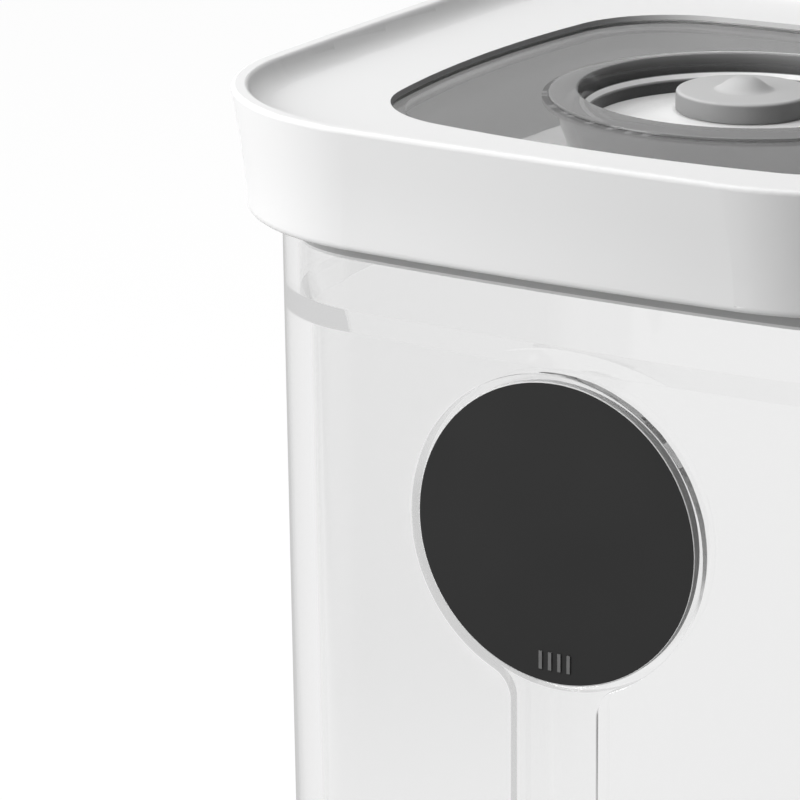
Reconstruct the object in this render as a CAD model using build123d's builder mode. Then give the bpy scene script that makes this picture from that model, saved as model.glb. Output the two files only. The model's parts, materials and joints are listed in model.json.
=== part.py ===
import os
from math import atan, cos, radians, sin, sqrt, tan

from build123d import *

os.makedirs("parts", exist_ok=True)

# Square vacuum canister, in millimetres. The origin is the centre of the base,
# +Z points up and the front wall with the label faces -Y.

# Overall sizes
overall_height = 160.0
overrun = 1.0

# Lid frame: outlines are half width, corner radius and radius of the bowed sides
lid_half = 55.1
lid_corner = 29.9
lid_side = 1300.0
foot_inset = 1.75
foot_corner = 27.4
foot_side = 510.0
skirt_height = 15.7
skirt_wall = 2.1
rim_width = 2.2
rim_depth = 2.75
rim_round = 0.5
cove_radius = 2.6
foot_round = 0.9
plate_thickness = 1.5
skirt_drop_shares = (0.0, 0.22, 0.52, 1.0)
skirt_inset_shares = (0.0, 0.36, 0.76, 1.0)

# Window opening in the frame's plate
plate_margin = 14.8
window_corner = 15.6
window_side = 157.0
window_drop = 0.6
window_fit = 0.1

# Window panel
panel_thickness = 1.2
panel_flange = 1.5
panel_ledge = 1.5

# Container
body_corner = 19.0
body_side = 500.0
draft_angle = 1.25
wall = 3.2
neck_wall = 1.8
floor_thickness = 3.6
ledge_depth = 20.0
ledge_height = 1.6
bead_out = 2.0
bead_clearance = 1.0
bead_corner = 24.3
bead_height = 3.4
bead_round = 0.8
base_round = 3.0
inner_round = 5.0
base_recess = 1.0
base_margin = 7.0
seat_gap = 0.05

# Keyhole recess and label in the front wall
label_drop = 48.7
pocket_radius = 19.7
pocket_depth = 1.9
stem_width = 11.8
stem_depth = 1.2
stem_length = 72.0
stem_fillet = 4.0
label_radius = 19.2
label_thickness = 1.1
adhesive_radius = 18.7
adhesive_thickness = 0.3
mark_count = 4
mark_pitch = 1.3
mark_width = 0.45
mark_height = 2.3
mark_thickness = 0.15
mark_drop = 16.3

# Valve cup: the collar with its dish, open below
collar_radius = 24.6
collar_edge_rise = 0.25
lip_radius = 20.9
lip_rise = 0.5
lip_round = 0.3
cup_fit = 0.05
weld_lip = 0.8
weld_lip_thickness = 0.6
dish_mid_radius = 20.3
dish_mid_depth = 2.45
dish_shoulder = 0.5
dish_radius = 19.6
dish_depth = 4.65
cup_skirt_top_radius = 24.2
cup_skirt_foot_radius = 21.9
cup_skirt_wall = 1.4
cup_skirt_depth = 8.5
seat_ledge = 1.0
seat_ledge_thickness = 0.6

# Valve seat: the disc that closes the dish, with the stem's hole and the vents
seat_thickness = 1.0
seat_radius = 9.0
seat_depth = 2.65
stem_hole_radius = 2.5
vent_count = 6
vent_radius = 0.8
vent_circle = 5.0

# Valve button
button_radius = 8.6
button_height = 2.6
button_round = 0.5
nub_radius = 4.2
nub_height = 2.0
nub_dome_share = 0.62
button_seat_width = 2.0
button_recess = 0.8
valve_lift = 1.5
valve_stem_clearance = 0.3
barb_radius = 3.3
barb_height = 1.6
barb_tip_radius = 1.4

# Carrier, gasket and panel seal under the plate
plug_clearance = 0.6
plug_depth = 18.8
carrier_wall = 3.4
carrier_flange = 2.0
carrier_foot = 1.1
groove_height = 6.2
groove_depth = 1.3
gasket_play = 0.05
gasket_reach = 0.3
lip_count = 3
gasket_lip_height = 1.0
seal_inset = 2.2
seal_width = 1.6
seal_height = 0.9
seal_play = 0.1

# Half widths worked out from the lid's: the window in its plate, the body in its skirt
window_half = lid_half - rim_width - plate_margin
body_half = lid_half - foot_inset - skirt_wall - bead_clearance - bead_out

# Heights worked out from the sizes above
plate_z = overall_height - rim_depth
under_plate_z = plate_z - plate_thickness
panel_top_z = plate_z - window_drop
panel_under_z = panel_top_z - panel_thickness
flange_under_z = under_plate_z - panel_flange
body_height = under_plate_z - seat_gap
skirt_foot_z = overall_height - skirt_height
neck_foot_z = body_height - ledge_depth
ledge_z = neck_foot_z - ledge_height
plug_foot_z = overall_height - plug_depth
label_z = overall_height - label_drop
draft_slope = tan(radians(draft_angle))


def rounded_square(half, corner, side):
    """Face with four bowed sides of radius side, joined by corner arcs."""
    reach = side - half
    centre = (sqrt(2 * (side - corner) ** 2 - reach**2) - reach) / 2
    along = (centre + reach) / (side - corner)
    across = centre / (side - corner)
    near = (centre + corner * along, centre + corner * across)
    bend = centre + corner * sqrt(0.5)
    with BuildSketch(mode=Mode.PRIVATE) as outline:
        with BuildLine():
            for turn in (0, 90, 180, 270):
                points = [(near[0], -near[1]), (half, 0), near, (bend, bend), (near[1], near[0])]
                a, b, c, d, e = [Vector(*point).rotate(Axis.Z, turn) for point in points]
                ThreePointArc(a, b, c)
                ThreePointArc(c, d, e)
        make_face()
    return outline.sketch


def inset(outline, distance):
    """Outline parallel to another one, further in by a distance."""
    return tuple(value - distance for value in outline)


def mix(first, second, share):
    """Outline between two others."""
    return tuple(a + (b - a) * share for a, b in zip(first, second))


def body_outline(height):
    """Outside of the drafted container at a height."""
    return inset((body_half, body_corner, body_side), (body_height - height) * draft_slope)


lid_top = (lid_half, lid_corner, lid_side)
lid_foot = (lid_half - foot_inset, foot_corner, foot_side)
window = (window_half, window_corner, window_side)
bead = (body_half + bead_out, bead_corner, body_side)
plug = inset(body_outline(plug_foot_z), neck_wall + plug_clearance)

# Plane of the front wall at the label, leaning with the draft
face_y = body_outline(label_z)[0]
label_plane = Plane(
    origin=(0, -face_y, label_z),
    x_dir=(1, 0, 0),
    z_dir=Vector(0, -1, 0).rotate(Axis.X, draft_angle),
)

# Container
with BuildPart() as container_body:
    for height in (0, body_height):
        with BuildSketch(Plane.XY.offset(height)):
            add(rounded_square(*body_outline(height)))
    loft(ruled=True)
    fillet(container_body.edges().group_by(Axis.Z)[0], radius=base_round)
    with BuildSketch(Plane.XY.offset(body_height - bead_height)):
        add(rounded_square(*bead))
    extrude(amount=bead_height)
    fillet(container_body.faces().sort_by(Axis.Z)[-1].outer_wire().edges(), radius=bead_round)

    # Inside, from the floor to the ledge
    for height in (floor_thickness, ledge_z):
        with BuildSketch(Plane.XY.offset(height)):
            add(rounded_square(*inset(body_outline(height), wall)))
    loft(ruled=True, mode=Mode.SUBTRACT)
    floor_face = container_body.faces().filter_by(Plane.XY).filter_by(
        lambda face: abs(face.center().Z - floor_thickness) < seat_gap
    )
    fillet(floor_face.edges(), radius=inner_round)

    # The ledge, where the wall steps in, and the neck above it
    for height, thickness in ((ledge_z, wall), (neck_foot_z, neck_wall)):
        with BuildSketch(Plane.XY.offset(height)):
            add(rounded_square(*inset(body_outline(height), thickness)))
    loft(ruled=True, mode=Mode.SUBTRACT)
    for height in (neck_foot_z, body_height):
        with BuildSketch(Plane.XY.offset(height)):
            add(rounded_square(*inset(body_outline(height), neck_wall)))
    loft(ruled=True, mode=Mode.SUBTRACT)

    # Keyhole recess: a shallow stem and a deeper round pocket
    with BuildSketch(label_plane):
        Circle(pocket_radius)
        with Locations((0, -stem_length / 2)):
            Rectangle(stem_width, stem_length)
        with Locations((0, -stem_length)):
            Circle(stem_width / 2)
        shoulders = vertices().filter_by(
            lambda vertex: abs(abs(vertex.X) - stem_width / 2) < seat_gap
        ).sort_by(Axis.Y)[-2:]
        fillet(shoulders, radius=stem_fillet)
    extrude(amount=-stem_depth, mode=Mode.SUBTRACT)
    with BuildSketch(label_plane):
        Circle(pocket_radius)
    extrude(amount=-pocket_depth, mode=Mode.SUBTRACT)

    # Hollow under the base, so that it stands on its edge
    with BuildSketch():
        add(rounded_square(*inset(body_outline(0), base_margin)))
    extrude(amount=base_recess, mode=Mode.SUBTRACT)

container_body.part.label = "container_body"
export_step(container_body.part, "parts/container_body.step")

# Label: adhesive, disc and four plain printed bars
with BuildPart() as label_adhesive:
    with BuildSketch(label_plane.offset(-pocket_depth)):
        Circle(adhesive_radius)
    extrude(amount=adhesive_thickness)

label_adhesive.part.label = "label_adhesive"
export_step(label_adhesive.part, "parts/label_adhesive.step")

disc_under = adhesive_thickness - pocket_depth
with BuildPart() as label_disc:
    with BuildSketch(label_plane.offset(disc_under)):
        Circle(label_radius)
    extrude(amount=label_thickness)

label_disc.part.label = "label_disc"
export_step(label_disc.part, "parts/label_disc.step")

with BuildPart() as label_marks:
    with BuildSketch(label_plane.offset(disc_under + label_thickness)):
        with Locations((0, -mark_drop)):
            with GridLocations(mark_pitch, mark_height, mark_count, 1):
                Rectangle(mark_width, mark_height)
    extrude(amount=mark_thickness)

label_marks.part.label = "label_marks"
export_step(label_marks.part, "parts/label_marks.step")

# Lid frame: flared skirt, raised rim and recessed plate with the window opening
with BuildPart() as lid_frame:
    for drop_share, inset_share in zip(skirt_drop_shares, skirt_inset_shares):
        with BuildSketch(Plane.XY.offset(overall_height - drop_share * skirt_height)):
            add(rounded_square(*mix(lid_top, lid_foot, inset_share)))
    loft()
    with BuildSketch(Plane.XY.offset(overall_height)):
        add(rounded_square(*inset(lid_top, rim_width)))
    extrude(amount=-rim_depth, mode=Mode.SUBTRACT)
    tray_edges = lid_frame.edges().filter_by_position(Axis.Z, plate_z - seat_gap, plate_z + seat_gap)
    fillet(tray_edges, radius=cove_radius)
    with BuildSketch(Plane.XY.offset(skirt_foot_z)):
        add(rounded_square(*inset(lid_foot, skirt_wall)))
    extrude(amount=under_plate_z - skirt_foot_z, mode=Mode.SUBTRACT)
    with BuildSketch(Plane.XY.offset(under_plate_z)):
        add(rounded_square(*window))
    extrude(amount=plate_thickness + overrun, mode=Mode.SUBTRACT)
    fillet(lid_frame.faces().sort_by(Axis.Z)[-1].edges(), radius=rim_round)
    fillet(lid_frame.faces().sort_by(Axis.Z)[0].outer_wire().edges(), radius=foot_round)

lid_frame.part.label = "lid_frame"
export_step(lid_frame.part, "parts/lid_frame.step")

# Window panel: a thin pane in the opening on a thicker flange under the plate
with BuildPart() as window_panel:
    with BuildSketch(Plane.XY.offset(flange_under_z)):
        add(rounded_square(*plug))
        add(rounded_square(*inset(window, panel_ledge)), mode=Mode.SUBTRACT)
    extrude(amount=panel_flange)
    with BuildSketch(Plane.XY.offset(panel_under_z)):
        add(rounded_square(*inset(window, window_fit)))
        Circle(collar_radius + cup_fit, mode=Mode.SUBTRACT)
    extrude(amount=panel_thickness)

window_panel.part.label = "window_panel"
export_step(window_panel.part, "parts/window_panel.step")

# Valve cup, turned about the lid's axis
lip_z = panel_top_z + collar_edge_rise + lip_rise
seat_z = lip_z - seat_depth
dish_floor_z = lip_z - dish_depth
seat_ledge_z = dish_floor_z - seat_thickness
skirt_end_z = lip_z - cup_skirt_depth
with BuildPart() as valve_cup:
    with BuildSketch(Plane.XZ):
        with BuildLine():
            Polyline(
                (dish_radius - seat_ledge, seat_ledge_z),
                (dish_radius, seat_ledge_z),
                (dish_radius, dish_floor_z),
                (dish_mid_radius - dish_shoulder, lip_z - dish_mid_depth - dish_shoulder),
                (dish_mid_radius, lip_z - dish_mid_depth),
                (lip_radius, lip_z),
                (collar_radius, panel_top_z + collar_edge_rise),
                (collar_radius, panel_under_z),
                (collar_radius + weld_lip, panel_under_z),
                (collar_radius + weld_lip, panel_under_z - weld_lip_thickness),
                (cup_skirt_top_radius, panel_under_z - weld_lip_thickness),
                (cup_skirt_foot_radius, skirt_end_z),
                (cup_skirt_foot_radius - cup_skirt_wall, skirt_end_z),
                (cup_skirt_foot_radius - cup_skirt_wall, seat_ledge_z - seat_ledge_thickness),
                (dish_radius - seat_ledge, seat_ledge_z - seat_ledge_thickness),
                close=True,
            )
        make_face()
    revolve(axis=Axis.Z)
    lip_edge = valve_cup.edges().filter_by(GeomType.CIRCLE).group_by(Axis.Z)[-1]
    fillet(lip_edge, radius=lip_round)

valve_cup.part.label = "valve_cup"
export_step(valve_cup.part, "parts/valve_cup.step")

# Valve seat, a shallow cone that rests on the cup's ledge
with BuildPart() as valve_seat:
    with BuildSketch(Plane.XZ):
        with BuildLine():
            Polyline(
                (stem_hole_radius, seat_z),
                (seat_radius, seat_z),
                (dish_radius - cup_fit, dish_floor_z),
                (dish_radius - cup_fit, seat_ledge_z),
                (dish_radius - seat_ledge, seat_ledge_z),
                (seat_radius, seat_z - seat_thickness),
                (stem_hole_radius, seat_z - seat_thickness),
                close=True,
            )
        make_face()
    revolve(axis=Axis.Z)
    with BuildSketch(Plane.XY.offset(seat_z)):
        with PolarLocations(vent_circle, vent_count):
            Circle(vent_radius)
    extrude(amount=-seat_thickness, mode=Mode.SUBTRACT)

valve_seat.part.label = "valve_seat"
export_step(valve_seat.part, "parts/valve_seat.step")

# Valve button: disc with a domed nub, a stem through the seat and a barb
button_under_z = seat_z + seat_gap
button_top_z = button_under_z + button_height
recess_radius = button_radius - button_seat_width
valve_stem_radius = stem_hole_radius - valve_stem_clearance
barb_top_z = seat_z - seat_thickness - valve_lift - valve_stem_clearance

# The nub's dome and the cove at its foot are two arcs that turn by the same angle
nub_top_z = button_top_z + nub_height
nub_turn = 2 * atan(nub_height / nub_radius)
dome_radius = nub_dome_share * nub_radius / sin(nub_turn)
dome_foot = (dome_radius * sin(nub_turn), nub_top_z - dome_radius * (1 - cos(nub_turn)))
with BuildPart() as valve_button:
    with BuildSketch(Plane.XZ):
        with BuildLine():
            dome = TangentArc((0, nub_top_z), dome_foot, tangent=(1, 0))
            TangentArc(dome_foot, (nub_radius, button_top_z), tangent=dome % 1)
            Polyline(
                (nub_radius, button_top_z),
                (button_radius, button_top_z),
                (button_radius, button_under_z),
                (recess_radius, button_under_z),
                (recess_radius, button_under_z + button_recess),
                (valve_stem_radius, button_under_z + button_recess),
                (valve_stem_radius, barb_top_z),
                (barb_radius, barb_top_z),
                (barb_tip_radius, barb_top_z - barb_height),
                (0, barb_top_z - barb_height),
                (0, nub_top_z),
            )
        make_face()
    revolve(axis=Axis.Z)
    rim_edge = (
        valve_button.edges()
        .filter_by(GeomType.CIRCLE)
        .filter_by(lambda edge: edge.radius > button_radius - seat_gap)
        .sort_by(Axis.Z)[-1]
    )
    fillet(rim_edge, radius=button_round)

valve_button.part.label = "valve_button"
export_step(valve_button.part, "parts/valve_button.step")

# Carrier ring that plugs into the neck, with a groove for the gasket
groove_foot_z = plug_foot_z + carrier_foot
seal_outer = inset(plug, seal_inset)
seal_inner = inset(plug, seal_inset + seal_width)
with BuildPart() as gasket_carrier:
    with BuildSketch(Plane.XY.offset(plug_foot_z)):
        add(rounded_square(*plug))
        add(rounded_square(*inset(plug, carrier_wall)), mode=Mode.SUBTRACT)
    extrude(amount=flange_under_z - plug_foot_z)
    with BuildSketch(Plane.XY.offset(flange_under_z - carrier_flange)):
        add(rounded_square(*plug))
        add(rounded_square(*inset(window, panel_ledge)), mode=Mode.SUBTRACT)
    extrude(amount=carrier_flange)
    with BuildSketch(Plane.XY.offset(groove_foot_z)):
        add(rounded_square(*inset(plug, -overrun)))
        add(rounded_square(*inset(plug, groove_depth)), mode=Mode.SUBTRACT)
    extrude(amount=groove_height, mode=Mode.SUBTRACT)
    with BuildSketch(Plane.XY.offset(flange_under_z)):
        add(rounded_square(*seal_outer))
        add(rounded_square(*seal_inner), mode=Mode.SUBTRACT)
    extrude(amount=-seal_height, mode=Mode.SUBTRACT)

gasket_carrier.part.label = "gasket_carrier"
export_step(gasket_carrier.part, "parts/gasket_carrier.step")

# Seal between the carrier and the window panel
with BuildPart() as panel_seal:
    with BuildSketch(Plane.XY.offset(flange_under_z)):
        add(rounded_square(*inset(seal_outer, seal_play)))
        add(rounded_square(*inset(seal_inner, -seal_play)), mode=Mode.SUBTRACT)
    extrude(amount=-seal_height)

panel_seal.part.label = "panel_seal"
export_step(panel_seal.part, "parts/panel_seal.step")

# Gasket with lips that face the neck of the container
gasket_height = groove_height - 2 * gasket_play
lip_step = (gasket_height - gasket_lip_height) / (lip_count - 1)
with BuildPart() as lid_gasket:
    with BuildSketch(Plane.XY.offset(groove_foot_z + gasket_play)):
        add(rounded_square(*plug))
        add(rounded_square(*inset(plug, groove_depth - gasket_play)), mode=Mode.SUBTRACT)
    extrude(amount=gasket_height)
    for index in range(lip_count):
        with BuildSketch(Plane.XY.offset(groove_foot_z + gasket_play + index * lip_step)):
            add(rounded_square(*inset(plug, -gasket_reach)))
            add(rounded_square(*inset(plug, groove_depth - gasket_play)), mode=Mode.SUBTRACT)
        extrude(amount=gasket_lip_height)

lid_gasket.part.label = "lid_gasket"
export_step(lid_gasket.part, "parts/lid_gasket.step")
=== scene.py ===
import json
from math import asin, atan2, cos, pi, radians, sin, sqrt, tan

import bmesh
import bpy
from mathutils import Matrix, Vector
from mathutils.geometry import delaunay_2d_cdt

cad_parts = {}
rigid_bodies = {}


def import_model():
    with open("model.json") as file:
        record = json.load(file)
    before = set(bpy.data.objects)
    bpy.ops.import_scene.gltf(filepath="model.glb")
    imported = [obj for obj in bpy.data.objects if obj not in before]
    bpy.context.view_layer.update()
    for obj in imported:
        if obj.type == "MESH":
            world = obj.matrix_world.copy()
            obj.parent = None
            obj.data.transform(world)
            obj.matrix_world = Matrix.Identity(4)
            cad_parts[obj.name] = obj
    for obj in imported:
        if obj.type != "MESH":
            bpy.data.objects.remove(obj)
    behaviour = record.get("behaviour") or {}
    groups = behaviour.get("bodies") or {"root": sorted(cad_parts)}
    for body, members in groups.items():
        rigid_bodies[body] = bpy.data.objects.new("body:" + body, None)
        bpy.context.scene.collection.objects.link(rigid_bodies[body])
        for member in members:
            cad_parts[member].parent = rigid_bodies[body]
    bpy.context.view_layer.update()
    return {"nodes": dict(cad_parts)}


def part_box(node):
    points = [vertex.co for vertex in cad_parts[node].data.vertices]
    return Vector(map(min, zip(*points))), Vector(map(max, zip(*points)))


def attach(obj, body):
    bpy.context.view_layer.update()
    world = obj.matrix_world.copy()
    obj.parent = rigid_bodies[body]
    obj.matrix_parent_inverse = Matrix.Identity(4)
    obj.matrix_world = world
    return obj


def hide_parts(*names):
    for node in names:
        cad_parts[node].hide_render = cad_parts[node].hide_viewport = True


for leftover in list(bpy.data.objects):
    bpy.data.objects.remove(leftover)  # Blender's own cube, lamp and camera
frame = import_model()
nodes = frame["nodes"]
mm = 0.001
print("frame loaded:", len(nodes), "pieces")


# Camera, at the photograph's angle

photoView = {
    "azimuth": 31.129,
    "elevation": 16.174,
    "roll": -0.278,
    "target": (-21.82, -47.0, 124.99),
    "distance": 683.68,
    "lens": 252.18,
    "sensor": 36.0,
}


def aimCamera(view):
    azimuth, elevation, roll = (radians(view[key]) for key in ("azimuth", "elevation", "roll"))
    back = Vector((sin(azimuth) * cos(elevation), -cos(azimuth) * cos(elevation), sin(elevation)))
    level = Vector((cos(azimuth), sin(azimuth), 0))
    rise = back.cross(level)
    right = cos(roll) * level - sin(roll) * rise
    up = sin(roll) * level + cos(roll) * rise
    data = bpy.data.cameras.new("photoCamera")
    data.lens, data.sensor_width = view["lens"], view["sensor"]
    camera = bpy.data.objects.new("photoCamera", data)
    bpy.context.scene.collection.objects.link(camera)
    place = (Vector(view["target"]) + back * view["distance"]) * mm
    camera.matrix_world = Matrix.Translation(place) @ Matrix((right, up, back)).transposed().to_4x4()
    bpy.context.scene.camera = camera


# Light guided inside the clear walls needs many bounces before it gets out

bounces = {"max": 28, "diffuse": 4, "glossy": 12, "transmission": 24, "transparent": 24}


def followLight(limits):
    cycles = bpy.context.scene.cycles
    cycles.max_bounces = limits["max"]
    cycles.diffuse_bounces = limits["diffuse"]
    cycles.glossy_bounces = limits["glossy"]
    cycles.transmission_bounces = limits["transmission"]
    cycles.transparent_max_bounces = limits["transparent"]


aimCamera(photoView)
followLight(bounces)
bpy.context.scene.view_settings.view_transform = "Standard"
print("camera placed")


# Outlines: half width, corner radius and radius of the bowed sides, in millimetres

pathSteps = {"side": 40, "corner": 40}


def inset(outline, distance):
    return tuple(value - distance for value in outline)


def outlineLoop(outline, height, steps=pathSteps):
    half, corner, side = outline
    reach = side - half
    centre = (sqrt(2 * (side - corner) ** 2 - reach**2) - reach) / 2
    swing = asin(centre / (side - corner))
    quarter = []
    for step in range(steps["side"]):
        angle = swing * (2 * step / steps["side"] - 1)
        quarter.append((side * cos(angle) - reach, side * sin(angle)))
    for step in range(steps["corner"]):
        angle = swing + (pi / 2 - 2 * swing) * step / steps["corner"]
        quarter.append((centre + corner * cos(angle), centre + corner * sin(angle)))
    loop = []
    for turn in (-1, 0, 1, 2):  # front, right, back and left
        c, s = cos(turn * pi / 2), sin(turn * pi / 2)
        loop += [Vector((c * x - s * y, s * x + c * y, height)) for x, y in quarter]
    return loop


def roundedProfile(corners, steps=5, closed=True):
    points = []
    count = len(corners)
    for index, (x, z, radius) in enumerate(corners):
        here = Vector((x, z))
        if radius == 0 or (not closed and index in (0, count - 1)):
            points.append(here)
            continue
        before = (Vector(corners[index - 1][:2]) - here).normalized()
        after = (Vector(corners[(index + 1) % count][:2]) - here).normalized()
        half = before.angle(after) / 2
        centre = here + (before + after).normalized() * radius / sin(half)
        arm = here + before * radius / tan(half) - centre
        sweep = (pi - 2 * half) * (1 if before.cross(after) < 0 else -1)
        for step in range(steps + 1):
            c, s = cos(sweep * step / steps), sin(sweep * step / steps)
            points.append(centre + Vector((c * arm.x - s * arm.y, s * arm.x + c * arm.y)))
    return points


# Meshes


def bridge(faces, first, second):
    for index in range(len(first)):
        after = (index + 1) % len(first)
        faces.append((first[index], first[after], second[after], second[index]))


def addLoop(points, loop):
    points += loop
    return list(range(len(points) - len(loop), len(points)))


def finishSurface(mesh, crease):
    shape = bmesh.new()
    shape.from_mesh(mesh)
    bmesh.ops.delete(shape, geom=[v for v in shape.verts if not v.link_faces], context="VERTS")
    bmesh.ops.recalc_face_normals(shape, faces=shape.faces)
    shape.to_mesh(mesh)
    shape.free()
    mesh.shade_smooth()
    mesh.set_sharp_from_angle(angle=radians(crease))


def addPiece(name, mesh):
    piece = bpy.data.objects.new(name, mesh)
    bpy.context.scene.collection.objects.link(piece)
    return piece


def meshPiece(name, points, faces, crease=30):
    mesh = bpy.data.meshes.new(name)
    mesh.from_pydata([point * mm for point in points], [], faces)
    finishSurface(mesh, crease)
    return addPiece(name, mesh)


def fitPiece(piece, body, slot, *replaced):
    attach(piece, body)
    if replaced:
        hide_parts(*replaced)


# Geometry node trees


def startTree(name, inputs):
    tree = bpy.data.node_groups.new(name, "GeometryNodeTree")
    tree.interface.new_socket("Geometry", in_out="INPUT", socket_type="NodeSocketGeometry")
    for label, kind in list(inputs.items()) + [("Material", "Material")]:
        tree.interface.new_socket(label, in_out="INPUT", socket_type="NodeSocket" + kind)
    tree.interface.new_socket("Geometry", in_out="OUTPUT", socket_type="NodeSocketGeometry")
    return tree, tree.nodes.new("NodeGroupInput"), tree.nodes.new("NodeGroupOutput")


def plug(tree, value, socket):
    if hasattr(value, "is_output"):
        tree.links.new(value, socket)
    else:
        socket.default_value = value


def calc(tree, operation, *values):
    node = tree.nodes.new("ShaderNodeMath")
    node.operation = operation
    for value, socket in zip(values, node.inputs):
        plug(tree, value, socket)
    return node.outputs["Value"]


def shapeNode(tree, kind, values=None, **settings):
    node = tree.nodes.new("GeometryNode" + kind)
    for key, value in settings.items():
        setattr(node, key, value)
    for key, value in (values or {}).items():
        plug(tree, value, node.inputs[key])
    return node


def endTree(tree, entry, result, shape):
    whole = shapeNode(tree, "RealizeInstances", {"Geometry": shape})
    clad = shapeNode(tree, "SetMaterial", {"Geometry": whole.outputs["Geometry"]})
    tree.links.new(entry.outputs["Material"], clad.inputs["Material"])
    tree.links.new(clad.outputs["Geometry"], result.inputs["Geometry"])


def grow(piece, tree, values, crease=30):
    modifier = piece.modifiers.new("grow", "NODES")
    modifier.node_group = tree
    for socket in tree.interface.items_tree:
        if socket.in_out == "INPUT" and socket.name in values:
            modifier[socket.identifier] = values[socket.name]
    shown = piece.evaluated_get(bpy.context.evaluated_depsgraph_get())
    mesh = bpy.data.meshes.new_from_object(shown)
    piece.modifiers.remove(modifier)
    piece.data = mesh
    finishSurface(mesh, crease)
    return piece


def profilePiece(name, profile):
    mesh = bpy.data.meshes.new(name)
    points = [Vector((x, 0, z)) * mm for x, z in profile]
    mesh.from_pydata(points, [(index, index + 1) for index in range(len(points) - 1)], [])
    return addPiece(name, mesh)


def turnedTree():
    tree, entry, result = startTree("turnedShape", {"Segments": "Int", "Weld": "Float"})
    size = shapeNode(tree, "AttributeDomainSize", {"Geometry": entry.outputs["Geometry"]})
    rows = size.outputs["Point Count"]
    columns = calc(tree, "ADD", entry.outputs["Segments"], 1)
    sheet = shapeNode(tree, "MeshGrid", {"Vertices X": columns, "Vertices Y": rows})
    index = shapeNode(tree, "InputIndex").outputs["Index"]
    turn = calc(tree, "FLOOR", calc(tree, "DIVIDE", calc(tree, "ADD", index, 0.5), rows))
    angle = calc(tree, "DIVIDE", calc(tree, "MULTIPLY", turn, 2 * pi), entry.outputs["Segments"])
    pick = shapeNode(tree, "SampleIndex", data_type="FLOAT_VECTOR")
    plug(tree, entry.outputs["Geometry"], pick.inputs["Geometry"])
    plug(tree, shapeNode(tree, "InputPosition").outputs["Position"], pick.inputs["Value"])
    plug(tree, calc(tree, "MODULO", index, rows), pick.inputs["Index"])
    spin = tree.nodes.new("ShaderNodeVectorRotate")
    spin.rotation_type = "Z_AXIS"
    plug(tree, pick.outputs["Value"], spin.inputs["Vector"])
    plug(tree, angle, spin.inputs["Angle"])
    placed = shapeNode(tree, "SetPosition", {"Geometry": sheet.outputs["Mesh"]})
    plug(tree, spin.outputs["Vector"], placed.inputs["Position"])
    joined = shapeNode(tree, "MergeByDistance", {"Geometry": placed.outputs["Geometry"]})
    plug(tree, entry.outputs["Weld"], joined.inputs["Distance"])
    endTree(tree, entry, result, joined.outputs["Geometry"])
    return tree


def joinAxes(tree, **axes):
    node = tree.nodes.new("ShaderNodeCombineXYZ")
    for axis, value in axes.items():
        plug(tree, value, node.inputs[axis])
    return node.outputs["Vector"]


def barRowTree():
    sizes = {"Count": "Int", "Pitch": "Float", "Width": "Float", "Height": "Float", "Thickness": "Float"}
    tree, entry, result = startTree("barRow", sizes)
    count, pitch, width, height, thickness = (entry.outputs[name] for name in sizes)
    start = calc(tree, "MULTIPLY", calc(tree, "MULTIPLY", calc(tree, "SUBTRACT", count, 1), pitch), -0.5)
    row = shapeNode(tree, "MeshLine")
    plug(tree, count, row.inputs["Count"])
    plug(tree, joinAxes(tree, X=start), row.inputs["Start Location"])
    plug(tree, joinAxes(tree, X=pitch), row.inputs["Offset"])
    bar = shapeNode(tree, "MeshCube")
    plug(tree, joinAxes(tree, X=width, Y=height, Z=thickness), bar.inputs["Size"])
    parts = {"Points": row.outputs["Mesh"], "Instance": bar.outputs["Mesh"]}
    placed = shapeNode(tree, "InstanceOnPoints", parts)
    endTree(tree, entry, result, placed.outputs["Instances"])
    return tree


def sweptTree():  # the profile's x goes outwards from the path and its y downwards
    tree, entry, result = startTree("sweptShape", {"Profile": "Object"})
    drawn = shapeNode(tree, "ObjectInfo")
    tree.links.new(entry.outputs["Profile"], drawn.inputs["Object"])
    section = shapeNode(tree, "MeshToCurve", {"Mesh": drawn.outputs["Geometry"]})
    path = shapeNode(tree, "MeshToCurve", {"Mesh": entry.outputs["Geometry"]})
    upright = shapeNode(tree, "SetCurveNormal", {"Curve": path.outputs["Curve"]}, mode="Z_UP")
    sweep = shapeNode(tree, "CurveToMesh", {"Curve": upright.outputs["Curve"]})
    tree.links.new(section.outputs["Curve"], sweep.inputs["Profile Curve"])
    endTree(tree, entry, result, sweep.outputs["Mesh"])
    return tree


def loopPiece(name, loop):  # edges only, closed
    mesh = bpy.data.meshes.new(name)
    edges = [(index, (index + 1) % len(loop)) for index in range(len(loop))]
    mesh.from_pydata([point * mm for point in loop], edges, [])
    return addPiece(name, mesh)


turned = turnedTree()
swept = sweptTree()
barRow = barRowTree()
weldGap = 0.002  # turned points that are closer than this become one


def turnPiece(name, profile, material, segments, crease=30):
    values = {"Segments": segments, "Weld": weldGap * mm, "Material": material}
    return grow(profilePiece(name, profile), turned, values, crease)


# Helpers for materials


def startMaterial(name):
    material = bpy.data.materials.new(name)
    material.use_nodes = True
    tree = material.node_tree
    return material, tree, tree.nodes["Principled BSDF"]


def addNode(tree, kind, values=(), **settings):
    node = tree.nodes.new(kind)
    for key, value in settings.items():
        setattr(node, key, value)
    for key, value in dict(values).items():
        node.inputs[key].default_value = value
    return node


def addGrain(tree, scale, low, high, detail):
    place = addNode(tree, "ShaderNodeTexCoord")
    noise = addNode(tree, "ShaderNodeTexNoise", {"Scale": scale, "Detail": detail})
    tree.links.new(place.outputs["Object"], noise.inputs["Vector"])
    spread = addNode(tree, "ShaderNodeMapRange", {"To Min": low, "To Max": high})
    tree.links.new(noise.outputs["Fac"], spread.inputs["Value"])
    return spread.outputs["Result"]


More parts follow.
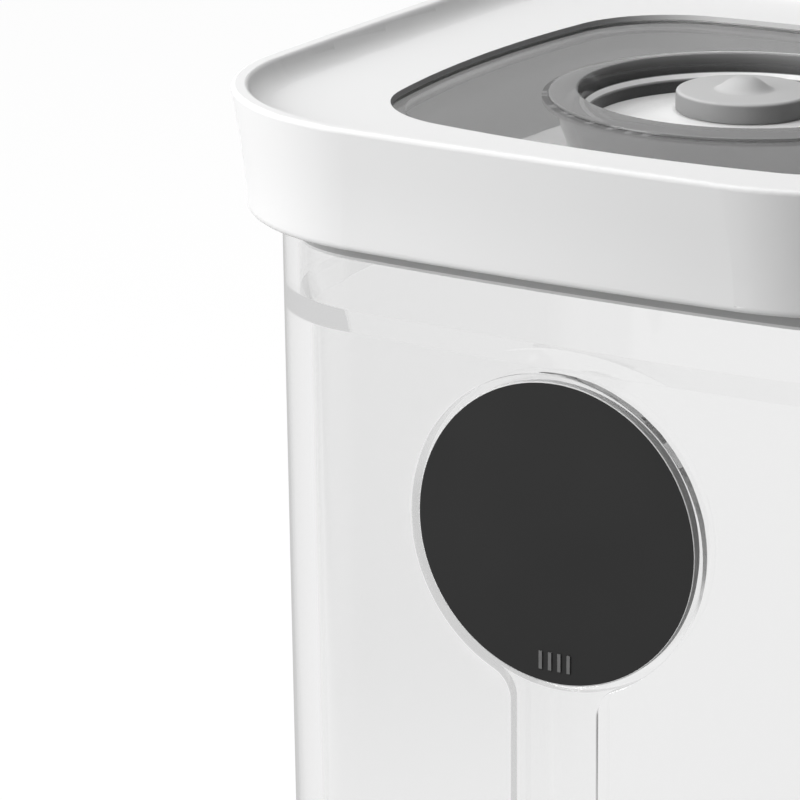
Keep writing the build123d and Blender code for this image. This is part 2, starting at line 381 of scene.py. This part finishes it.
def addBump(tree, shader, height, depth):
    bump = addNode(tree, "ShaderNodeBump", {"Distance": depth})
    tree.links.new(height, bump.inputs["Height"])
    tree.links.new(bump.outputs["Normal"], shader.inputs["Normal"])


def letLampsThrough(tree, shader, look):  # lamps pass straight, and a ray that has bounced past the deepest limit ends in a painted pale glow instead of the light it would reach
    path = addNode(tree, "ShaderNodeLightPath")
    either = addNode(tree, "ShaderNodeMath", operation="MAXIMUM")
    tree.links.new(path.outputs["Is Shadow Ray"], either.inputs[0])
    tree.links.new(path.outputs["Is Diffuse Ray"], either.inputs[1])
    deep = addNode(tree, "ShaderNodeMath", {1: look["deepest"]}, operation="GREATER_THAN")
    tree.links.new(path.outputs["Ray Depth"], deep.inputs[0])
    clear = addNode(tree, "ShaderNodeBsdfTransparent", {"Color": grey(look["lamps"])})
    # painted glow: an emission that stands in for light guided along inside the clear wall
    paintedGlow = addNode(tree, "ShaderNodeEmission", {"Strength": look["paintedGlowLevel"]})
    shown = shader.outputs["BSDF"]
    for share, other in ((deep.outputs[0], paintedGlow.outputs["Emission"]), (either.outputs[0], clear.outputs["BSDF"])):
        pick = addNode(tree, "ShaderNodeMixShader")
        tree.links.new(share, pick.inputs["Fac"])
        tree.links.new(shown, pick.inputs[1])
        tree.links.new(other, pick.inputs[2])
        shown = pick.outputs["Shader"]
    tree.links.new(shown, tree.nodes["Material Output"].inputs["Surface"])


def dress(name, material):
    mesh = nodes[name].data
    for index in range(len(mesh.materials)):
        mesh.materials[index] = material


def grey(value):
    return (value, value, value, 1)


def mouldedPlastic(name, look):
    material, tree, shader = startMaterial(name)
    shader.inputs["IOR"].default_value = look["ior"]
    shader.inputs["Specular IOR Level"].default_value = look["gloss"]
    tree.links.new(addGrain(tree, look["mottle"], *look["shade"], detail=2), shader.inputs["Base Color"])
    tree.links.new(addGrain(tree, look["grain"], *look["roughness"], detail=3), shader.inputs["Roughness"])
    addBump(tree, shader, addGrain(tree, look["grain"], 0, 1, detail=4), look["depth"] * mm)
    return material


def clearPlastic(name, look):
    material, tree, shader = startMaterial(name)
    shader.inputs["Base Color"].default_value = grey(look["tint"])
    shader.inputs["IOR"].default_value = look["ior"]
    shader.inputs["Transmission Weight"].default_value = look["clear"]
    tree.links.new(addGrain(tree, look["haze"], *look["roughness"], detail=3), shader.inputs["Roughness"])
    addBump(tree, shader, addGrain(tree, look["wave"], 0, 1, detail=2), look["depth"] * mm)
    letLampsThrough(tree, shader, look)
    return material


# Container: drafted clear walls with a ledge inside, a keyhole recess in the front and a bead at the mouth

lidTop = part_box("lid_frame")[1][2] / mm
bodyWide, bodyTop = (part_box("container_body")[1][axis] / mm for axis in (0, 2))

container = {
    "corner": 19.0,
    "side": 500.0,
    "draft": 1.25,
    "wall": 3.2,
    "neckWall": 1.8,
    "floor": 3.6,
    "ledgeDepth": 20.7,
    "ledgeHeight": 3.2,
    "ledgeRound": 0.5,
    "beadOut": 2.0,
    "beadCorner": 24.3,
    "beadHeight": 3.4,
    "beadRound": 0.8,
    "baseRound": 3.0,
    "innerRound": 5.0,
    "baseRecess": 1.0,
    "baseMargin": 7.0,
    "roundSteps": 8,
    "levels": 40,
    "uncut": 4,
}

keyhole = {
    "drop": 48.7,
    "radius": 20.2,
    "depth": 2.6,
    "stemWidth": 11.8,
    "stemDepth": 1.5,
    "stemLength": 72.0,
    "shoulder": 4.0,
    "mouthRound": 0.25,
    "mouthSteps": 5,
    "margin": 3.0,
    "clearance": 0.7,
    "circleSteps": 180,
    "shoulderSteps": 10,
    "stemSteps": 36,
    "endSteps": 32,
}

clearWall = {
    "tint": 0.97,
    "clear": 1.0,
    "ior": 1.52,
    "lamps": 0.97,
    "deepest": 5,
    # strength of the painted glow for rays past the deepest bounce
    "paintedGlowLevel": 0.66,
    "haze": 90,
    "roughness": (0.0, 0.015),
    "wave": 45,
    "depth": 0.02,
}

bodyHalf = bodyWide - container["beadOut"]
labelHeight = lidTop - keyhole["drop"]
draft = radians(container["draft"])


def bodyOutline(height, depth=0.0):
    return inset((bodyHalf, container["corner"], container["side"]), (bodyTop - height) * tan(draft) + depth)


def frontPoint(x, height):  # on the outside of the front wall
    half, side = bodyOutline(height)[::2]
    return Vector((x, side - half - sqrt(side**2 - x**2), height))


labelSpot = frontPoint(0, labelHeight)
labelAxes = Matrix(((1, 0, 0), (0, -sin(draft), cos(draft)), (0, -cos(draft), -sin(draft)))).transposed()


def onLabelPlane(spot, depth):  # depth goes into the wall
    return labelSpot + labelAxes @ Vector((spot.x, spot.y, -depth))


def keyholeOutline(look, spread):  # from the right shoulder round the top, then down and up the stem
    radius = look["radius"] + spread
    half = look["stemWidth"] / 2 + spread
    shoulder = look["shoulder"] - spread
    reach = half + shoulder
    fall = sqrt((radius + shoulder) ** 2 - reach**2)
    notch = atan2(reach, fall)

    def arc(x, y, size, start, end, steps):
        turns = [start + (end - start) * step / steps for step in range(steps)]
        return [Vector((x + size * cos(turn), y + size * sin(turn))) for turn in turns]

    def run(x, start, end, steps):
        return [Vector((x, start + (end - start) * step / steps)) for step in range(steps)]

    foot = -look["stemLength"]
    circle = arc(0, 0, radius, notch - pi / 2, 3 * pi / 2 - notch, look["circleSteps"])
    stem = arc(-reach, -fall, shoulder, pi / 2 - notch, 0, look["shoulderSteps"])
    stem += run(-half, -fall, foot, look["stemSteps"])
    stem += arc(0, foot, half, pi, 2 * pi, look["endSteps"])
    stem += run(half, foot, -fall, look["stemSteps"])
    stem += arc(reach, -fall, shoulder, pi, pi / 2 + notch, look["shoulderSteps"])
    throat = arc(0, 0, radius, 3 * pi / 2 - notch, 3 * pi / 2 + notch, look["endSteps"])
    return circle, stem, throat


def mouthRing(look, turn):
    circle, stem = keyholeOutline(look, look["mouthRound"] * (1 - sin(turn)))[:2]
    drop = Vector((0, look["mouthRound"] * (1 - cos(turn)), 0))
    return [frontPoint(spot.x, labelHeight + spot.y * cos(draft)) + drop for spot in circle + stem]


def bodySections(look):
    turns = [pi / 2 * step / look["roundSteps"] for step in range(look["roundSteps"] + 1)]
    margin, base = look["baseMargin"], look["baseRound"]
    sections = [(bodyOutline(0, margin), look["baseRecess"]), (bodyOutline(0, margin), 0)]
    for turn in turns:
        height = base * (1 - cos(turn))
        sections.append((bodyOutline(height, base * (1 - sin(turn))), height))
    start = len(sections)
    low = labelHeight - keyhole["stemLength"] - keyhole["stemWidth"] / 2 - keyhole["margin"]
    high = labelHeight + keyhole["radius"] + keyhole["margin"]
    for step in range(look["levels"] + 1):
        height = low + (high - low) * step / look["levels"]
        sections.append((bodyOutline(height), height))
    end = len(sections)
    beadFoot, beadRound = bodyTop - look["beadHeight"], look["beadRound"]
    bead = (bodyHalf + look["beadOut"], look["beadCorner"], look["side"])
    sections += [(bodyOutline(beadFoot), beadFoot), (bead, beadFoot)]
    for turn in turns:
        sections.append((inset(bead, beadRound * (1 - cos(turn))), bodyTop - beadRound * (1 - sin(turn))))
    neckFoot = bodyTop - look["ledgeDepth"]
    inner, wall = look["innerRound"], look["wall"]
    inside = [
        (look["neckWall"], bodyTop, 0),
        (look["neckWall"], neckFoot, look["ledgeRound"]),
        (wall, neckFoot - look["ledgeHeight"], look["ledgeRound"]),
        (wall, look["floor"] + inner, 0),
    ]
    for depth, height in roundedProfile(inside, closed=False):
        sections.append((bodyOutline(height, depth), height))
    for turn in turns[1:]:
        height = look["floor"] + inner * (1 - sin(turn))
        sections.append((bodyOutline(height, wall + inner * (1 - cos(turn))), height))
    return sections, start, end


def isInside(spot, outline):
    hit = False
    for index, corner in enumerate(outline):
        last = outline[index - 1]
        if (corner.y > spot.y) != (last.y > spot.y):
            if spot.x < last.x + (corner.x - last.x) * (spot.y - last.y) / (corner.y - last.y):
                hit = not hit
    return hit


def paveFront(points, faces, loops, columns, mouth, clearance):  # the wall round the keyhole's mouth
    rim = [loops[0][column] for column in columns] + [loop[columns[-1]] for loop in loops[1:-1]]
    rim += [loops[-1][column] for column in reversed(columns)] + [loop[columns[0]] for loop in loops[-2:0:-1]]
    hole = [Vector((points[index].x, points[index].z)) for index in mouth]
    owners = rim + mouth
    for loop in loops[1:-1]:
        for column in columns[1:-1]:
            spot = Vector((points[loop[column]].x, points[loop[column]].z))
            if min((spot - other).length for other in hole) > clearance and not isInside(spot, hole):
                owners.append(loop[column])
    flat = [Vector((points[index].x, points[index].z)) for index in owners]
    edges = [(index, (index + 1) % len(rim)) for index in range(len(rim))]
    edges += [(len(rim) + index, len(rim) + (index + 1) % len(mouth)) for index in range(len(mouth))]
    insideOnly, closeness = 1, 1e-5  # which tiles are kept, and when two points count as one
    spots, _, tiles, origins = delaunay_2d_cdt(flat, edges, [], insideOnly, closeness)[:4]
    for tile in tiles:
        middle = sum((spots[index] for index in tile), Vector((0, 0))) / len(tile)
        if not isInside(middle, hole):
            faces.append([owners[origins[index][0]] for index in tile])


def sinkKeyhole(points, faces, mouth, look):
    last = mouth
    for step in range(1, look["mouthSteps"] + 1):
        ring = addLoop(points, mouthRing(look, pi / 2 * step / look["mouthSteps"]))
        bridge(faces, last, ring)
        last = ring
    circle, stem, throat = keyholeOutline(look, 0)
    foot = addLoop(points, [onLabelPlane(spot, look["stemDepth"]) for spot in circle + stem])
    bridge(faces, last, foot)
    step = addLoop(points, [onLabelPlane(spot, look["stemDepth"]) for spot in throat[1:]])
    faces.append(foot[len(circle):] + [foot[0]] + step[::-1])
    pocket = addLoop(points, [onLabelPlane(spot, look["depth"]) for spot in circle + throat])
    bridge(faces, foot[:len(circle) + 1] + step, pocket)
    faces.append(pocket)


def makeContainer(look):
    sections, start, end = bodySections(look)
    points, faces = [], []
    loops = [addLoop(points, outlineLoop(outline, height)) for outline, height in sections]
    columns = range(look["uncut"], pathSteps["side"] - look["uncut"] + 1)
    for level, (first, second) in enumerate(zip(loops, loops[1:])):
        row = []
        bridge(row, first, second)
        if start <= level < end - 1:
            row = [face for column, face in enumerate(row) if column not in columns[:-1]]
        faces += row
    mouth = addLoop(points, mouthRing(keyhole, 0))
    paveFront(points, faces, loops[start:end], columns, mouth, keyhole["clearance"])
    sinkKeyhole(points, faces, mouth, keyhole)
    faces += [loops[0], loops[-1]]
    return meshPiece("container_shell", points, faces)


containerShell = makeContainer(container)
containerShell.data.materials.append(clearPlastic("clearPlastic", clearWall))
fitPiece(containerShell, "container", "clear_plastic", "container_body")
print("container moulded")


# Label: a dark disc with a pale rounded rim, and a row of plain bars printed on it

label = {
    "radius": 19.2,
    "edge": 0.15,
    "thickness": 1.1,
    "back": 1.6,
    "filmRadius": 18.7,
    "filmPlay": 0.03,
    "round": 0.12,
    "segments": 256,
}
marks = {
    "Count": 4,
    "Pitch": 1.3 * mm,
    "Width": 0.45 * mm,
    "Height": 2.3 * mm,
    "Thickness": 0.15 * mm,
}
markDrop = 16.3
labelDark = {
    "ior": 1.45,
    "gloss": 0.25,
    "mottle": 60,
    "shade": (0.022, 0.03),
    "grain": 2600,
    "roughness": (0.42, 0.55),
    "depth": 0.002,
}
labelPaleRim = {
    "ior": 1.45,
    "gloss": 0.4,
    "mottle": 300,
    "shade": (0.72, 0.8),
    "grain": 2600,
    "roughness": (0.4, 0.5),
    "depth": 0.004,
}
labelPrint = {
    "ior": 1.45,
    "gloss": 0.3,
    "mottle": 900,
    "shade": (0.14, 0.2),
    "grain": 3000,
    "roughness": (0.5, 0.6),
    "depth": 0.004,
}
adhesiveFilm = {
    "ior": 1.45,
    "gloss": 0.4,
    "mottle": 500,
    "shade": (0.74, 0.82),
    "grain": 2000,
    "roughness": (0.4, 0.55),
    "depth": 0.01,
}


def layOnLabel(piece, spot, depth):
    place = Matrix.Translation(onLabelPlane(Vector(spot), depth) * mm) @ labelAxes.to_4x4()
    piece.data.transform(place)
    return piece


def makeLabel(look):
    inner, outer, thick = look["radius"] - look["edge"], look["radius"], look["thickness"]
    film = keyhole["depth"] - look["back"] - look["filmPlay"]
    spread = look["filmRadius"]
    pad = [Vector((0, 0)), Vector((spread, 0)), Vector((spread, -film)), Vector((0, -film))]
    disc = [Vector((0, thick)), Vector((inner, thick)), Vector((inner, 0)), Vector((0, 0))]
    edge = [(inner, thick, 0), (outer, thick, look["round"]), (outer, 0, look["round"]), (inner, 0, 0)]
    edge = roundedProfile(edge, closed=False)
    dark, paleRim = mouldedPlastic("labelDark", labelDark), mouldedPlastic("labelPaleRim", labelPaleRim)
    face = turnPiece("label_face", disc, dark, look["segments"])
    rim = turnPiece("label_edge", edge + edge[:1], paleRim, look["segments"])
    glue = turnPiece("label_pad", pad, mouldedPlastic("adhesiveFilm", adhesiveFilm), look["segments"])
    for piece, slot, node in (
        (face, "label_dark", "label_disc"),
        (rim, "adhesive", "label_disc"),
        (glue, "adhesive", "label_adhesive"),
    ):
        layOnLabel(piece, (0, 0), look["back"])
        fitPiece(piece, "container", slot, node)


makeLabel(label)
labelBars = addPiece("label_bars", bpy.data.meshes.new("label_bars"))
grow(labelBars, barRow, {**marks, "Material": mouldedPlastic("labelPrint", labelPrint)})
frontDepth = label["back"] - label["thickness"] - marks["Thickness"] / mm / 2
layOnLabel(labelBars, (0, -markDrop), frontDepth)
fitPiece(labelBars, "container", "label_print", "label_marks")
print("label printed")


# Lid frame: white, moulded with a fine grain

whiteLid = {
    "ior": 1.5,
    "gloss": 0.15,
    "mottle": 25,
    "shade": (0.85, 0.87),
    "grain": 1600,
    "roughness": (0.48, 0.58),
    "depth": 0.006,
}
dress("lid_frame", mouldedPlastic("whiteLid", whiteLid))
print("lid frame moulded")


# Window panel: a smoked pane on a flange, with a round hole for the valve cup

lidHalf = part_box("lid_frame")[1][0] / mm

panel = {
    "corner": 15.6,
    "side": 157.0,
    "plateMargin": 14.8,
    "rimWidth": 2.2,
    "rimDepth": 2.75,
    "plate": 1.5,
    "drop": 0.6,
    "fit": 0.1,
    "thickness": 1.2,
    "flange": 1.5,
    "ledge": 1.5,
    "plugClearance": 0.6,
    "plugDepth": 18.8,
    "edgeRound": 0.12,
}
smoked = {
    "tint": 0.56,
    "clear": 1.0,
    "ior": 1.49,
    "lamps": 0.6,
    "deepest": 7,
    # strength of the painted glow for rays past the deepest bounce
    "paintedGlowLevel": 0.3,
    "haze": 120,
    "roughness": (0.0, 0.02),
    "wave": 60,
    "depth": 0.004,
}
cup = {
    "collar": 24.6,
    "collarRise": 0.25,
    "collarRound": 0.25,
    "lip": 20.9,
    "lipRise": 0.5,
    "lipRound": 0.3,
    "fit": 0.05,
    "weldLip": 0.8,
    "weldThickness": 0.6,
    "weldRound": 0.15,
    "midRadius": 20.3,
    "midDepth": 2.45,
    "shoulder": 0.5,
    "shoulderRound": 0.25,
    "dish": 19.6,
    "dishDepth": 4.65,
    "skirtTop": 24.2,
    "skirtFoot": 21.9,
    "skirtWall": 1.4,
    "skirtRound": 0.4,
    "skirtDepth": 8.5,
    "seatLedge": 1.0,
    "seatLedgeThickness": 0.6,
    "seatThickness": 1.0,
    "segments": 320,
}

plateTop = lidTop - panel["rimDepth"]
plateUnder = plateTop - panel["plate"]
paneTop = plateTop - panel["drop"]
paneUnder = paneTop - panel["thickness"]
flangeUnder = plateUnder - panel["flange"]
plugFoot = lidTop - panel["plugDepth"]
plugOutline = bodyOutline(plugFoot, container["neckWall"] + panel["plugClearance"])


def circleLoop(radius, height, like):  # its points stand towards those of another loop
    return [Vector((point.x, point.y, 0)).normalized() * radius + Vector((0, 0, height)) for point in like]


def makePanel(look):
    half = lidHalf - look["rimWidth"] - look["plateMargin"]
    pane = inset((half, look["corner"], look["side"]), look["fit"])
    inner = inset(pane, look["ledge"])
    edge = look["edgeRound"]
    like = outlineLoop(pane, 0)
    hole = cup["collar"] + cup["fit"]
    loops = [
        circleLoop(hole, paneUnder, like),
        circleLoop(hole, paneTop, like),
        outlineLoop(inset(pane, edge), paneTop),
        outlineLoop(pane, paneTop - edge),
        outlineLoop(pane, plateUnder),
        outlineLoop(inset(plugOutline, edge), plateUnder),
        outlineLoop(plugOutline, plateUnder - edge),
        outlineLoop(plugOutline, flangeUnder),
        outlineLoop(inner, flangeUnder),
        outlineLoop(inner, paneUnder),
    ]
    points, faces = [], []
    loops = [addLoop(points, loop) for loop in loops]
    for first, second in zip(loops, loops[1:] + loops[:1]):
        bridge(faces, first, second)
    return meshPiece("smoked_window", points, faces)


smokedWindow = makePanel(panel)
smokedWindow.data.materials.append(clearPlastic("smokedPlastic", smoked))
fitPiece(smokedWindow, "lid", "smoked_plastic", "window_panel")
print("window fitted")


# Valve cup, seat and button

cupPlastic = {
    "tint": 0.5,
    "clear": 0.5,
    "ior": 1.49,
    "lamps": 0.55,
    "deepest": 7,
    # strength of the painted glow for rays past the deepest bounce
    "paintedGlowLevel": 0.3,
    "haze": 120,
    "roughness": (0.08, 0.14),
    "wave": 80,
    "depth": 0.003,
}
cupPaintedLight = {  # painted shade and highlight: the dish's walls are painted dark as shade and its shoulder painted white as a highlight, with no light let through there; its collar is mid grey
    "Base Color": (
        19.5,
        21.0,
        ((0, 0.03), (0.17, 0.03), (0.21, 0.95), (0.5, 0.95), (0.55, 0.06), (0.8, 0.2), (0.9, 0.33)),
    ),
    "Transmission Weight": (19.5, 21.0, ((0, 0.5), (0.17, 0.5), (0.21, 0), (0.5, 0), (0.55, 0.5))),
}
# painted shade: the button's side is painted darker than its top, standing in for the shade it falls in
buttonPaintedShade = {"Base Color": (8.0, 8.6, ((0, 0.52), (0.8, 0.52), (0.97, 0.3)))}
seatPlastic = {
    "ior": 1.5,
    "gloss": 0.5,
    "mottle": 60,
    "shade": (0.84, 0.87),
    "grain": 1800,
    "roughness": (0.18, 0.28),
    "depth": 0.003,
}
softSilicone = {
    "ior": 1.42,
    "gloss": 0.4,
    "mottle": 150,
    "shade": (0.5, 0.54),
    "grain": 4200,
    "roughness": (0.48, 0.62),
    "depth": 0.008,
}


def paintLightByRadius(material, bands):  # paints light and shade into colour and clearness by distance from the axis: two radii, and levels at shares of the way between them
    tree = material.node_tree
    shader = tree.nodes["Principled BSDF"]
    place = addNode(tree, "ShaderNodeTexCoord")
    level = addNode(tree, "ShaderNodeVectorMath", {1: (1, 1, 0)}, operation="MULTIPLY")
    tree.links.new(place.outputs["Object"], level.inputs[0])
    reach = addNode(tree, "ShaderNodeVectorMath", operation="LENGTH")
    tree.links.new(level.outputs["Vector"], reach.inputs[0])
    for socket, (start, end, levels) in bands.items():
        spread = addNode(tree, "ShaderNodeMapRange", {"From Min": start * mm, "From Max": end * mm})
        tree.links.new(reach.outputs["Value"], spread.inputs["Value"])
        ramp = addNode(tree, "ShaderNodeValToRGB")
        tree.links.new(spread.outputs["Result"], ramp.inputs["Fac"])
        stops = ramp.color_ramp.elements
        for index, (share, level) in enumerate(levels):
            stop = stops[index] if index < 2 else stops.new(share)
            stop.position, stop.color = share, grey(level)
        tree.links.new(ramp.outputs["Color"], shader.inputs[socket])
    return material


def makeCup(look):
    lip = paneTop + look["collarRise"] + look["lipRise"]
    dishFloor = lip - look["dishDepth"]
    ledge = dishFloor - look["seatThickness"]
    under = ledge - look["seatLedgeThickness"]
    foot = lip - look["skirtDepth"]
    mid = lip - look["midDepth"]
    inner = look["skirtFoot"] - look["skirtWall"]
    weldFoot = paneUnder - look["weldThickness"]
    corners = [
        (look["dish"] - look["seatLedge"], ledge, 0),
        (look["dish"], ledge, 0),
        (look["dish"], dishFloor, 0),
        (look["midRadius"] - look["shoulder"], mid - look["shoulder"], look["shoulderRound"]),
        (look["midRadius"], mid, look["shoulderRound"]),
        (look["lip"], lip, look["lipRound"]),
        (look["collar"], paneTop + look["collarRise"], look["collarRound"]),
        (look["collar"], paneUnder, 0),
        (look["collar"] + look["weldLip"], paneUnder, 0),
        (look["collar"] + look["weldLip"], weldFoot, look["weldRound"]),
        (look["skirtTop"], weldFoot, 0),
        (look["skirtFoot"], foot, look["skirtRound"]),
        (inner, foot, look["skirtRound"]),
        (inner, under, 0),
        (look["dish"] - look["seatLedge"], under, 0),
    ]
    profile = roundedProfile(corners)
    # the dish gets painted shade on its walls and a painted highlight on its shoulder
    plastic = paintLightByRadius(clearPlastic("cupPlastic", cupPlastic), cupPaintedLight)
    return turnPiece("valve_dish", profile + profile[:1], plastic, look["segments"])


button = {
    "seatDepth": 2.65,
    "play": 0.05,
    "radius": 8.6,
    "height": 2.6,
    "round": 0.5,
    "footRound": 0.15,
    "nubRadius": 4.0,
    "nubHeight": 1.6,
    "nubFullness": 1.5,
    "nubSteps": 18,
    "seatWidth": 2.0,
    "recess": 0.8,
    "stem": 2.2,
    "stemLength": 2.85,
    "barb": 3.3,
    "barbHeight": 1.6,
    "barbTip": 1.4,
    "segments": 160,
}


def makeButton(look):
    under = paneTop + cup["collarRise"] + cup["lipRise"] - look["seatDepth"] + look["play"]
    top, ceiling = under + look["height"], under + look["recess"]
    barb, inner = under - look["stemLength"], look["radius"] - look["seatWidth"]
    profile = []
    for step in range(look["nubSteps"]):
        share = step / look["nubSteps"]
        rise = look["nubHeight"] * (1 + cos(pi * share ** look["nubFullness"])) / 2
        profile.append(Vector((look["nubRadius"] * share, top + rise)))
    corners = [
        (look["nubRadius"], top, 0),
        (look["radius"], top, look["round"]),
        (look["radius"], under, look["footRound"]),
        (inner, under, 0),
        (inner, ceiling, 0),
        (look["stem"], ceiling, 0),
        (look["stem"], barb, 0),
        (look["barb"], barb, 0),
        (look["barbTip"], barb - look["barbHeight"], 0),
        (0, barb - look["barbHeight"], 0),
    ]
    profile += roundedProfile(corners, closed=False)
    # the button's side gets painted shade
    silicone = paintLightByRadius(mouldedPlastic("softSilicone", softSilicone), buttonPaintedShade)
    return turnPiece("valve_knob", profile, silicone, look["segments"])


valveDish = makeCup(cup)
fitPiece(valveDish, "lid", "cup_plastic", "valve_cup")
dress("valve_seat", mouldedPlastic("seatPlastic", seatPlastic))
fitPiece(makeButton(button), "valve", "valve_silicone", "valve_button")
print("valve turned")


# Carrier, panel seal and gasket

carrierPlastic = {
    "ior": 1.5,
    "gloss": 0.5,
    "mottle": 40,
    "shade": (0.83, 0.86),
    "grain": 1600,
    "roughness": (0.35, 0.45),
    "depth": 0.005,
}
sealSilicone = {
    "ior": 1.42,
    "gloss": 0.4,
    "mottle": 150,
    "shade": (0.56, 0.62),
    "grain": 4000,
    "roughness": (0.5, 0.6),
    "depth": 0.006,
}
gasketSilicone = {
    "ior": 1.42,
    "gloss": 0.4,
    "mottle": 120,
    "shade": (0.4, 0.44),
    "grain": 4000,
    "roughness": (0.48, 0.6),
    "depth": 0.008,
}
dress("gasket_carrier", mouldedPlastic("carrierPlastic", carrierPlastic))
dress("panel_seal", mouldedPlastic("sealSilicone", sealSilicone))

gasket = {  # heights are measured down from the lid's top, and widths out from the plug's wall
    "top": 11.6,
    "foot": 18.4,
    "grooveFoot": 17.65,
    "grooveDepth": 1.25,
    "skirt": 0.03,
    "valley": 0.1,
    "reach": 0.3,
    "lips": 3,
    "steps": 36,
}


def makeGasket(look):  # seen from the side: a band in the groove, with lips all round
    top, foot, steps = look["top"], look["foot"], look["steps"]
    section = [Vector((look["skirt"], foot, 0))]
    for step in range(steps + 1):
        swell = (1 - cos(2 * pi * look["lips"] * step / steps)) / 2
        out = look["valley"] + (look["reach"] - look["valley"]) * swell
        section.append(Vector((out, foot + (top - foot) * step / steps, 0)))
    section.append(Vector((-look["grooveDepth"], top, 0)))
    section.append(Vector((-look["grooveDepth"], look["grooveFoot"], 0)))
    section.append(Vector((look["skirt"], look["grooveFoot"], 0)))
    outline = loopPiece("gasket_section", section)
    band = loopPiece("gasket_band", outlineLoop(plugOutline, lidTop))
    grow(band, swept, {"Profile": outline, "Material": mouldedPlastic("gasketSilicone", gasketSilicone)})
    bpy.data.objects.remove(outline)
    fitPiece(band, "lid", "gasket_silicone", "lid_gasket")


makeGasket(gasket)
print("gasket fitted")


# Studio

studio = {
    "floorSize": 6.0,
    "floorShade": 0.85,
    "floorRoughness": 0.9,
    "floorWhite": 0.85,
    "floorGlow": 1.06,
    "paperAlong": (0.856, 0.517, 0),
    "paperStart": 0.06,
    "paperEnd": 0.2,
    "clearFloor": (0.92, 0.08),
    "glossyFloor": (0.55, 0.05),
    "diffuseFloor": (0.36, 0.03),
    # each light of the world: its direction, the start and end of its ramp, and its two levels
    "worldLight": ((-0.85, -0.2, 0.5), -0.3, 0.9, 0.02, 0.55),
    "glossyLight": ((-0.85, -0.2, 0.5), -0.3, 0.9, 0.02, 0.9),
    "clearLight": ((-0.856, -0.517, 0), -0.75, -0.15, 0.05, 0.97),
}


def rampByDirection(tree, towards, start, end, low, high):
    place = addNode(tree, "ShaderNodeTexCoord")
    dot = addNode(tree, "ShaderNodeVectorMath", {1: Vector(towards).normalized()}, operation="DOT_PRODUCT")
    tree.links.new(place.outputs["Generated"], dot.inputs[0])
    ends = {"From Min": start, "From Max": end, "To Min": low, "To Max": high}
    spread = addNode(tree, "ShaderNodeMapRange", ends, interpolation_type="SMOOTHSTEP")
    tree.links.new(dot.outputs["Value"], spread.inputs["Value"])
    return spread.outputs["Result"]


def lightWorld(look):
    world = bpy.data.worlds.new("studioWorld")
    world.use_nodes = True
    bpy.context.scene.world = world
    tree = world.node_tree
    background = tree.nodes["Background"]
    background.inputs["Color"].default_value = grey(1.0)
    path = addNode(tree, "ShaderNodeLightPath")
    level = rampByDirection(tree, *look["worldLight"])
    rays = {"Is Glossy Ray": "glossyLight", "Is Transmission Ray": "clearLight", "Is Camera Ray": None}
    for ray, light in rays.items():  # the camera sees plain white
        pick = addNode(tree, "ShaderNodeMix", {"B": 1.0}, data_type="FLOAT")
        tree.links.new(path.outputs[ray], pick.inputs["Factor"])
        tree.links.new(level, pick.inputs["A"])
        if light:
            tree.links.new(rampByDirection(tree, *look[light]), pick.inputs["B"])
        level = pick.outputs["Result"]
    tree.links.new(level, background.inputs["Strength"])


def layFloor(look):  # white to the camera; the light that it gives the object fades towards the right
    reach = look["floorSize"] / 2
    mesh = bpy.data.meshes.new("floor")
    corners = [(-reach, -reach, 0), (reach, -reach, 0), (reach, reach, 0), (-reach, reach, 0)]
    mesh.from_pydata(corners, [], [(0, 1, 2, 3)])
    floor = addPiece("floor", mesh)
    material, tree, shader = startMaterial("paperFloor")
    shader.inputs["Base Color"].default_value = grey(look["floorShade"])
    shader.inputs["Roughness"].default_value = look["floorRoughness"]
    glow = addNode(tree, "ShaderNodeEmission", {"Strength": look["floorGlow"]})
    bright = addNode(tree, "ShaderNodeMixShader", {"Fac": look["floorWhite"]})
    tree.links.new(shader.outputs["BSDF"], bright.inputs[1])
    tree.links.new(glow.outputs["Emission"], bright.inputs[2])
    place = addNode(tree, "ShaderNodeTexCoord")
    along = addNode(tree, "ShaderNodeVectorMath", {1: look["paperAlong"]}, operation="DOT_PRODUCT")
    tree.links.new(place.outputs["Object"], along.inputs[0])
    path = addNode(tree, "ShaderNodeLightPath")
    shown = bright.outputs["Shader"]
    for ray, (near, far) in (
        ("Is Diffuse Ray", look["diffuseFloor"]),
        ("Is Glossy Ray", look["glossyFloor"]),
        ("Is Transmission Ray", look["clearFloor"]),
    ):
        ends = {"From Min": look["paperStart"], "From Max": look["paperEnd"], "To Min": near, "To Max": far}
        fade = addNode(tree, "ShaderNodeMapRange", ends, interpolation_type="SMOOTHSTEP")
        tree.links.new(along.outputs["Value"], fade.inputs["Value"])
        light = addNode(tree, "ShaderNodeEmission")
        tree.links.new(fade.outputs["Result"], light.inputs["Strength"])
        pick = addNode(tree, "ShaderNodeMixShader")
        tree.links.new(path.outputs[ray], pick.inputs["Fac"])
        tree.links.new(shown, pick.inputs[1])
        tree.links.new(light.outputs["Emission"], pick.inputs[2])
        shown = pick.outputs["Shader"]
    tree.links.new(shown, tree.nodes["Material Output"].inputs["Surface"])
    mesh.materials.append(material)


lamps = {
    "key": {"power": 2.05, "size": (0.3, 0.3), "from": (-0.31, -0.39, 0.33), "aim": (-0.02, -0.03, 0.12)},
    "top": {"power": 6.3, "size": (0.8, 0.8), "from": (-0.1, 0.2, 1.2), "aim": (0, 0, 0.1)},
}


def hangLamps(look):
    for name, lamp in look.items():
        data = bpy.data.lights.new(name, "AREA")
        data.energy, data.shape = lamp["power"], "RECTANGLE"
        data.size, data.size_y = lamp["size"]
        light = bpy.data.objects.new(name, data)
        bpy.context.scene.collection.objects.link(light)
        aim = Vector(lamp["aim"]) - Vector(lamp["from"])
        turn = aim.to_track_quat("-Z", "Y").to_matrix().to_4x4()
        light.matrix_world = Matrix.Translation(lamp["from"]) @ turn
        light.visible_transmission = False


lightWorld(studio)
layFloor(studio)
hangLamps(lamps)
print("studio lit")
